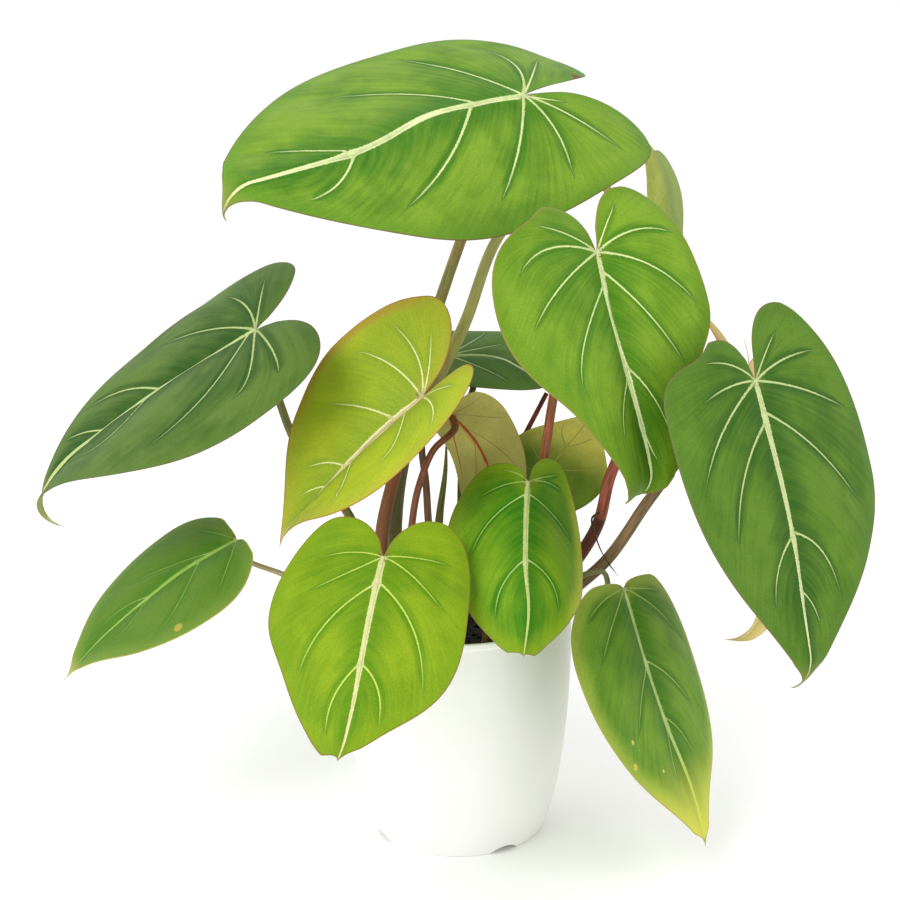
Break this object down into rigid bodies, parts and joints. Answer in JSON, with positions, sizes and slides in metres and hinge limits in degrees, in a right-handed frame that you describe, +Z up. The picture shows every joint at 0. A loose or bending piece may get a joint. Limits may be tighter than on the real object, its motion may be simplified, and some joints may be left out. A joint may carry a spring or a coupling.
{
  "type": "potted philodendron gloriosum",
  "caption": "Philodendron gloriosum with large heart-shaped, pale-veined leaves on slender stalks, growing in potting mix in a smooth white plastic nursery pot.",
  "frame": {"origin": "centre of the flat pad under the pot, on the surface that the pot stands on", "axes": "+Z up along the pot's axis, -Y towards the front of the plant as pictured, +X to the right of that view"},
  "size_m": [0.5321, 0.3861, 0.4954],
  "materials": {
    "white_plastic": "smooth satin moulded plastic",
    "potting_mix": "loose dark bark and coir",
    "leaf_green": "velvety leaf, mid green with cream veins",
    "leaf_dark_green": "velvety leaf, dark green with cream veins",
    "leaf_lime": "velvety young leaf, yellow-green with pale veins",
    "leaf_olive": "leaf underside, olive with reddish veins",
    "leaf_tan": "ageing leaf, tan with green edges",
    "petiole_olive": "downy stalk, olive brown",
    "petiole_red": "downy stalk, red brown",
    "petiole_pale": "downy stalk, pale grey-green",
    "new_leaf": "smooth rolled leaf, dark green",
    "dried_sheath": "dry papery scale, dark brown"
  },
  "bodies": {
    "root": {"pot": "white_plastic", "potting_mix": "potting_mix", "leaf_blade_01": "leaf_green", "leaf_blade_02": "leaf_dark_green", "leaf_blade_03": "leaf_lime", "leaf_blade_04": "leaf_green", "leaf_blade_05": "leaf_green", "leaf_blade_06": "leaf_green", "leaf_blade_07": "leaf_lime", "leaf_blade_08": "leaf_green", "leaf_blade_09": "leaf_green", "leaf_blade_10": "leaf_dark_green", "leaf_blade_11": "leaf_olive", "leaf_blade_12": "leaf_olive", "leaf_blade_13": "leaf_green", "leaf_blade_14": "leaf_tan", "petiole_01": "petiole_olive", "petiole_02": "petiole_olive", "petiole_03": "petiole_olive", "petiole_04": "petiole_red", "petiole_05": "petiole_olive", "petiole_06": "petiole_olive", "petiole_07": "petiole_olive", "petiole_08": "petiole_olive", "petiole_09": "petiole_olive", "petiole_10": "petiole_olive", "petiole_11": "petiole_red", "petiole_12": "petiole_olive", "petiole_13": "petiole_pale", "petiole_14": "petiole_red", "rolled_new_leaf": "new_leaf", "bare_petiole": "petiole_red", "dried_sheath": "dried_sheath"}
  },
  "joints": []
}
